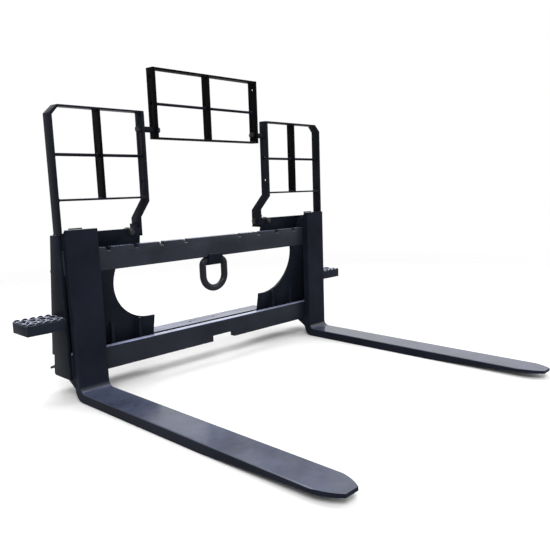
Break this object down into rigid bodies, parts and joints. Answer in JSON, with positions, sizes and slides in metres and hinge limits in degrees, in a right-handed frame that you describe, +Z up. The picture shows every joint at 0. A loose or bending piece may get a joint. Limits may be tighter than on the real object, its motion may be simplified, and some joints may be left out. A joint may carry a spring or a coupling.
{
  "type": "pallet fork attachment",
  "caption": "Skid steer pallet fork frame with sliding forks on two rails, a walk-through coupler, a split load guard, side steps and a swinging towing ring.",
  "frame": {"origin": "on the floor under the middle of the whole attachment, midway between the fork tips and the rear of the pin ledge", "axes": "+X across the frame to the operator's right seen from the fork tips, -Y out along the forks, +Z up"},
  "size_m": [1.434, 1.252, 1.0711],
  "materials": {
    "frame_paint": "navy-black semi-gloss paint on steel plate",
    "fork_paint": "navy-black semi-gloss paint on forged steel, blue-grey sheen on the blade tops",
    "guard_paint": "black semi-gloss paint on flat bar",
    "tread_paint": "dark grey-blue paint on formed sheet",
    "ring_paint": "black paint on round bar",
    "zinc": "bright zinc plate"
  },
  "bodies": {
    "frame": {"centre_bolts": "zinc", "centre_bottom_bar": "guard_paint", "centre_end_bar_left": "guard_paint", "centre_end_bar_right": "guard_paint", "centre_middle_bar": "guard_paint", "centre_nuts": "zinc", "centre_rod": "guard_paint", "centre_top_bar": "guard_paint", "coupler_plate_left": "frame_paint", "coupler_plate_right": "frame_paint", "foot_bolts": "zinc", "foot_bracket_left": "guard_paint", "foot_bracket_right": "guard_paint", "foot_nuts": "zinc", "guard_frame_left": "guard_paint", "guard_frame_right": "guard_paint", "guard_lower_bar_left": "guard_paint", "guard_lower_bar_right": "guard_paint", "guard_middle_bar_left": "guard_paint", "guard_middle_bar_right": "guard_paint", "guard_rod_left": "guard_paint", "guard_rod_right": "guard_paint", "guard_upright_left": "guard_paint", "guard_upright_right": "guard_paint", "hook_lip_left": "frame_paint", "hook_lip_right": "frame_paint", "inner_gusset_left": "frame_paint", "inner_gusset_right": "frame_paint", "lower_rail": "frame_paint", "lower_rib_left": "frame_paint", "lower_rib_right": "frame_paint", "outer_gusset_left": "frame_paint", "outer_gusset_right": "frame_paint", "pin_ledge_left": "frame_paint", "pin_ledge_right": "frame_paint", "rail_lands": "frame_paint", "ring_clip": "frame_paint", "side_plate_left": "frame_paint", "side_plate_right": "frame_paint", "spacer_tubes": "guard_paint", "step_left": "tread_paint", "step_right": "tread_paint", "tread": "tread_paint", "upper_rail": "frame_paint", "upper_rib_left": "frame_paint", "upper_rib_right": "frame_paint", "washers": "zinc", "window_plate_left": "frame_paint", "window_plate_right": "frame_paint"},
    "fork_left_body": {"fork_left": "fork_paint", "upper_hook_left": "fork_paint", "lower_hook_left": "fork_paint"},
    "fork_right_body": {"fork_right": "fork_paint", "upper_hook_right": "fork_paint", "lower_hook_right": "fork_paint"},
    "latch_left": {"latch_pin_left": "zinc"},
    "latch_right": {"latch_pin_right": "zinc"},
    "ring": {"towing_ring": "ring_paint"}
  },
  "joints": [
    {"name": "fork_left_slide", "type": "slide", "parent": "frame", "child": "fork_left_body", "axis": [1, 0, 0], "range_m": [0, 0.4064]},
    {"name": "fork_right_slide", "type": "slide", "parent": "frame", "child": "fork_right_body", "axis": [-1, 0, 0], "range_m": [0, 0.4064]},
    {"name": "latch_left_drop", "type": "slide", "parent": "fork_left_body", "child": "latch_left", "axis": [0, 0, 1], "range_m": [-0.012, 0]},
    {"name": "latch_right_drop", "type": "slide", "parent": "fork_right_body", "child": "latch_right", "axis": [0, 0, 1], "range_m": [-0.012, 0]},
    {"name": "ring_swing", "type": "hinge", "parent": "frame", "child": "ring", "pos_m": [0, 0.48573, 0.3924], "axis": [1, 0, 0], "range_deg": [-90, 90]}
  ]
}
